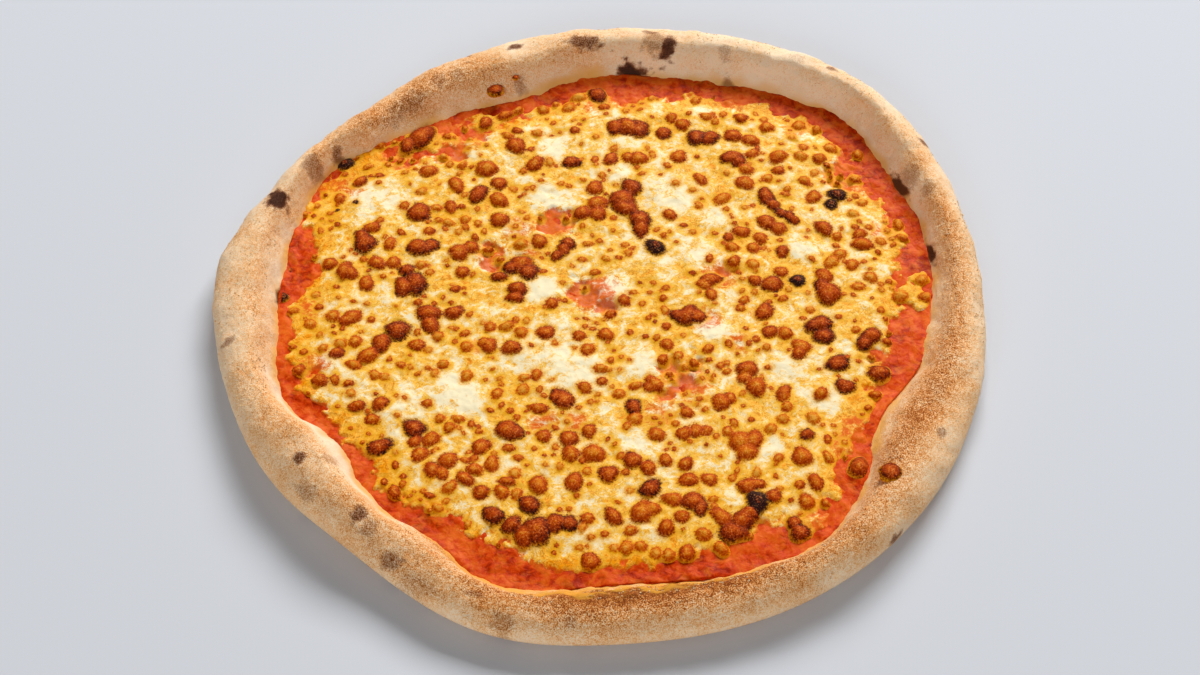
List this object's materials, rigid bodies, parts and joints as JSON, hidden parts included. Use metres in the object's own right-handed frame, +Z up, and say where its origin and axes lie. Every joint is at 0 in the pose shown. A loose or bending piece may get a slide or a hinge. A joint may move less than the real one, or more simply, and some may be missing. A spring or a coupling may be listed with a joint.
{
  "type": "margherita pizza",
  "caption": "Round baked pizza with an uneven puffed rim, tomato sauce and browned melted cheese.",
  "frame": {"origin": "middle of the flat underside, at the centre of the pizza's bounding box", "axes": "+Z up through the food; +X to the right and +Y away from a viewer who faces the flatter lower-left edge"},
  "size_m": [0.3174, 0.3192, 0.0221],
  "materials": {
    "crust": "matte",
    "tomato_sauce": "moist",
    "cheese": "oily, semi-gloss"
  },
  "bodies": {
    "root": {"crust": "crust", "tomato_sauce": "tomato_sauce", "cheese": "cheese"}
  },
  "joints": []
}
